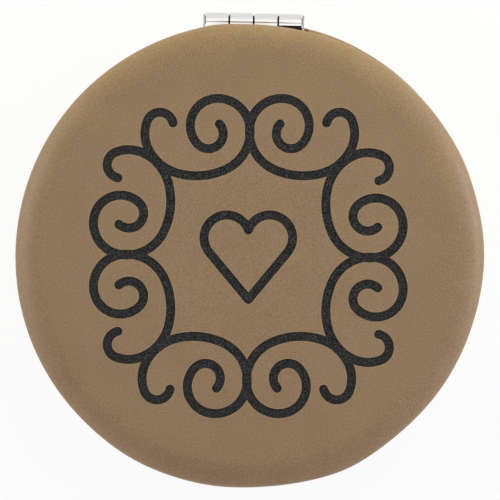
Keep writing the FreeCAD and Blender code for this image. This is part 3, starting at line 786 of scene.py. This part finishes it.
def buildLeaf(halfName, materials):
    c, nodeName = hingeShape, halfName + "_hinge_leaf"
    low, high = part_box("hinge_pin")
    axis = (low + high) / 2
    build = bmesh.new()
    build.from_mesh(nodes[nodeName].data)
    bmesh.ops.remove_doubles(build, verts=build.verts, dist=c["weld"] * mm)
    bmesh.ops.dissolve_limit(build, angle_limit=math.radians(c["flatAngle"]), verts=build.verts,
                             edges=build.edges)
    levelLegs(build, axis)
    if halfName == "base":
        widenBacks(build, axis)
    sharp = [edge for edge in build.edges if edge.calc_face_angle() > math.radians(c["edgeAngle"])]
    bmesh.ops.bevel(build, geom=sharp, offset=c["edgeRound"] * mm, segments=c["segments"], profile=0.5,
                    affect="EDGES", clamp_overlap=True)
    # the inside of each fold, and the gap floors just behind the pin, get dark steel as painted shade; a
    # greyer, rougher band along each leg, where the barrel turns toward the lid, is a painted reflection of
    # the lid's darker wall
    for reach in (c["foldReach"], *c["paintedReflectionLine"]):
        slicePlane(build, axis - Vector((0, reach * mm, 0)), (0, 1, 0))
    for face in build.faces:
        face.smooth = True
        off = (face.calc_center_median() - axis) / mm
        inPaintedShade = abs(off.z) < c["foldInside"] and -c["foldReach"] < off.y < c["backReach"][1]
        dull = abs(off.x) > high.x / mm - c["earEdge"] or c["paintedReflectionLine"][0] < -off.y < c["paintedReflectionLine"][1]
        if abs(face.normal.x) < c["sideways"]:
            face.material_index = paintedShadeSlot if inPaintedShade else shearedAndPaintedLineSlot if dull else platedSlot
    # flat legs stay flat up to the crease
    for edge in build.edges:
        steep = sorted(abs(face.normal.z) for face in edge.link_faces)
        edge.smooth = not (c["creaseSlope"] < steep[0] < c["level"] < steep[1])
    mesh = bpy.data.meshes.new(halfName + "HingeLeaf")
    build.to_mesh(mesh)
    build.free()
    for material in materials:
        mesh.materials.append(material)
    piece = addObject(halfName + "HingeLeaf", mesh)
    flatSides = piece.modifiers.new("flatSides", "WEIGHTED_NORMAL")     # broad faces stay flat, edges turn
    flatSides.weight = 100
    flatSides.keep_sharp = True
    return piece


# the dark steel is the pin's finish and is also laid inside the leaves' folds as painted shade
plating, pinSteelAndPaintedShade = makeNickel("nickelPlatedSteelPolished", nickel), makeDarkSteelAndPaintedShade()
# the sheared nickel also draws the painted reflection line along each leg
shearedAndPaintedLine = makeNickel("nickelPlatedSteelShearedAndPaintedLine", shearedNickelAndPaintedLine)
for halfName in halves:
    piece = buildLeaf(halfName, (plating, pinSteelAndPaintedShade, shearedAndPaintedLine))
    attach(piece, halfName)
    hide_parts(halfName + "_hinge_leaf")
    print(piece.name, len(piece.data.polygons), "faces")

# Finishes of the pieces that keep their own shape
silver, black, tape = makeSilverRing(), makeMouldedAbs(), makeFoamTape()
glass = makeMirrorGlass(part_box("lid_mirror")[1].x / mm)
finishes = dict(
    shell=black, mirror_ring=silver, mirror=glass, magnifying_mirror=glass, mirror_tape=tape,
    # the pin's dark steel also darkens the gaps between the knuckles as painted shade
    magnet=plating, hinge_rivets=plating, pin=pinSteelAndPaintedShade)
for nodeName, node in nodes.items():
    if not node.hide_render:
        kind = nodeName.split("_", 1)[1]
        node.data.materials.clear()
        node.data.materials.append(finishes[kind])
print("finishes laid on the metal, glass and plastic")

# Floor, light and camera
stageLook = dict(floorHalf=1500, floorColour="#fcfcfc", shadowShare=0.08, worldLevel=0.115, floorGap=0.05)


def seenShare(tree):
    # 1 for what the camera sees, by itself or in metal and glass, and 0 for light that falls on things
    ray = addNode(tree, "LightPath", {})
    seen = addNode(tree, "Math", {0: ray.outputs["Is Camera Ray"], 1: ray.outputs["Is Glossy Ray"]},
                   operation="MAXIMUM")
    seen = addNode(tree, "Math", {0: seen.outputs[0], 1: ray.outputs["Is Transmission Ray"]},
                   operation="MAXIMUM")
    return seen.outputs[0]


def makeFloor():
    # matte white sweep: white to the camera, and still a little darker in the compact's shadow
    look = stageLook
    mesh = bpy.data.meshes.new("floor")
    half, level = look["floorHalf"] * mm, -look["floorGap"] * mm
    corners = [(-half, -half, level), (half, -half, level), (half, half, level), (-half, half, level)]
    mesh.from_pydata(corners, [], [(0, 1, 2, 3)])
    material = bpy.data.materials.new("paperSweepMatte")
    material.use_nodes = True
    tree = material.node_tree
    tree.nodes.clear()
    lit = addNode(tree, "BsdfDiffuse", {"Color": linear(look["floorColour"])})
    white = addNode(tree, "Emission", {"Color": (1, 1, 1, 1), "Strength": 1.0})
    share = addNode(tree, "Math", {0: seenShare(tree), 1: 1 - look["shadowShare"]}, operation="MULTIPLY")
    both = addNode(tree, "MixShader", {0: share.outputs[0], 1: lit.outputs[0], 2: white.outputs[0]})
    addNode(tree, "OutputMaterial", {"Surface": both.outputs[0]})
    mesh.materials.append(material)
    floor = addObject("floor", mesh)


def makeWorld():
    # even white surround, a plain level for the light and full white where it is seen
    world = bpy.data.worlds.new("whiteSurround")
    bpy.context.scene.world = world
    world.use_nodes = True
    tree = world.node_tree
    tree.nodes.clear()
    level = addNode(tree, "MapRange", {"Value": seenShare(tree), "To Min": stageLook["worldLevel"],
                                       "To Max": 1.0})
    surround = addNode(tree, "Background", {"Color": (1, 1, 1, 1), "Strength": level.outputs[0]})
    addNode(tree, "OutputWorld", {"Surface": surround.outputs[0]})


lamps = [
    # direction in degrees from the right, height in degrees, distance, size, power in watts, colour,
    # and whether metal and glass show the lamp
    dict(name="keySoftbox", around=48, height=45, away=200, size=(140, 140), power=0.112, colour="#ffffff",
         glossy=False),
    dict(name="overheadSoftbox", around=-90, height=88, away=800, size=(540, 460), power=0.25,
         colour="#ffffff"),
    dict(name="warmBackPanel", around=97, height=14, away=330, size=(420, 110), power=0.61,
         colour="#fff896", glossy=False),
    dict(name="rightStrip", around=13, height=15, away=360, size=(300, 100), power=0.85, colour="#ffffff"),
    dict(name="leftStrip", around=170, height=20, away=360, size=(300, 240), power=0.78, colour="#ffffff"),
    dict(name="frontFill", around=-90, height=15, away=400, size=(420, 110), power=0.62, colour="#fff0e8",
         glossy=False),
]


def makeLamps():
    aim = Vector((0, 0, halves["base"]["rim"])) * mm
    for lamp in lamps:
        around, height = math.radians(lamp["around"]), math.radians(lamp["height"])
        data = bpy.data.lights.new(lamp["name"], "AREA")
        data.shape = "RECTANGLE"
        data.size, data.size_y = (s * mm for s in lamp["size"])
        data.energy = lamp["power"]
        data.color = linear(lamp["colour"])[:3]
        light = addObject(lamp["name"], data)
        flat = math.cos(height)
        toward = Vector((math.cos(around) * flat, math.sin(around) * flat, math.sin(height)))
        light.location = aim + toward * lamp["away"] * mm
        light.rotation_euler = toward.to_track_quat("Z", "Y").to_euler()
        light.visible_camera = False
        light.visible_glossy = lamp.get("glossy", True)


cameraLook = dict(
    sensor=36, distance=1500,
    frameWidth=68.17,                        # millimetres across the frame at the parting line
    tilt=0.6, tiltToward=60,                 # degrees off straight down, and to which side
    roll=1.05,                               # the compact lies turned a little clockwise
    framePixels=500, centrePixel=(249.5, 255.3))


def makeCamera():
    look = cameraLook
    tilt, toward, roll = (math.radians(look[key]) for key in ("tilt", "tiltToward", "roll"))
    back = Vector((math.sin(tilt) * math.cos(toward), math.sin(tilt) * math.sin(toward), math.cos(tilt)))
    right = Vector((-math.sin(roll), math.cos(roll), 0)).cross(back).normalized()
    up = back.cross(right)
    pixel = look["frameWidth"] / look["framePixels"]
    middle = look["framePixels"] / 2
    aim = Vector((0, 0, halves["base"]["rim"]))
    aim += right * (middle - look["centrePixel"][0]) * pixel
    aim += up * (look["centrePixel"][1] - middle) * pixel
    data = bpy.data.cameras.new("camera")
    data.sensor_width = look["sensor"]
    data.lens = data.sensor_width * look["distance"] / look["frameWidth"]
    camera = addObject("camera", data)
    camera.matrix_world = Matrix.Translation((aim + back * look["distance"]) * mm) @ Matrix(
        (right, up, back)).transposed().to_4x4()
    bpy.context.scene.camera = camera


makeFloor()
makeWorld()
makeLamps()
makeCamera()
bpy.context.scene.view_settings.view_transform = "Standard"
print("stage, light and camera set")
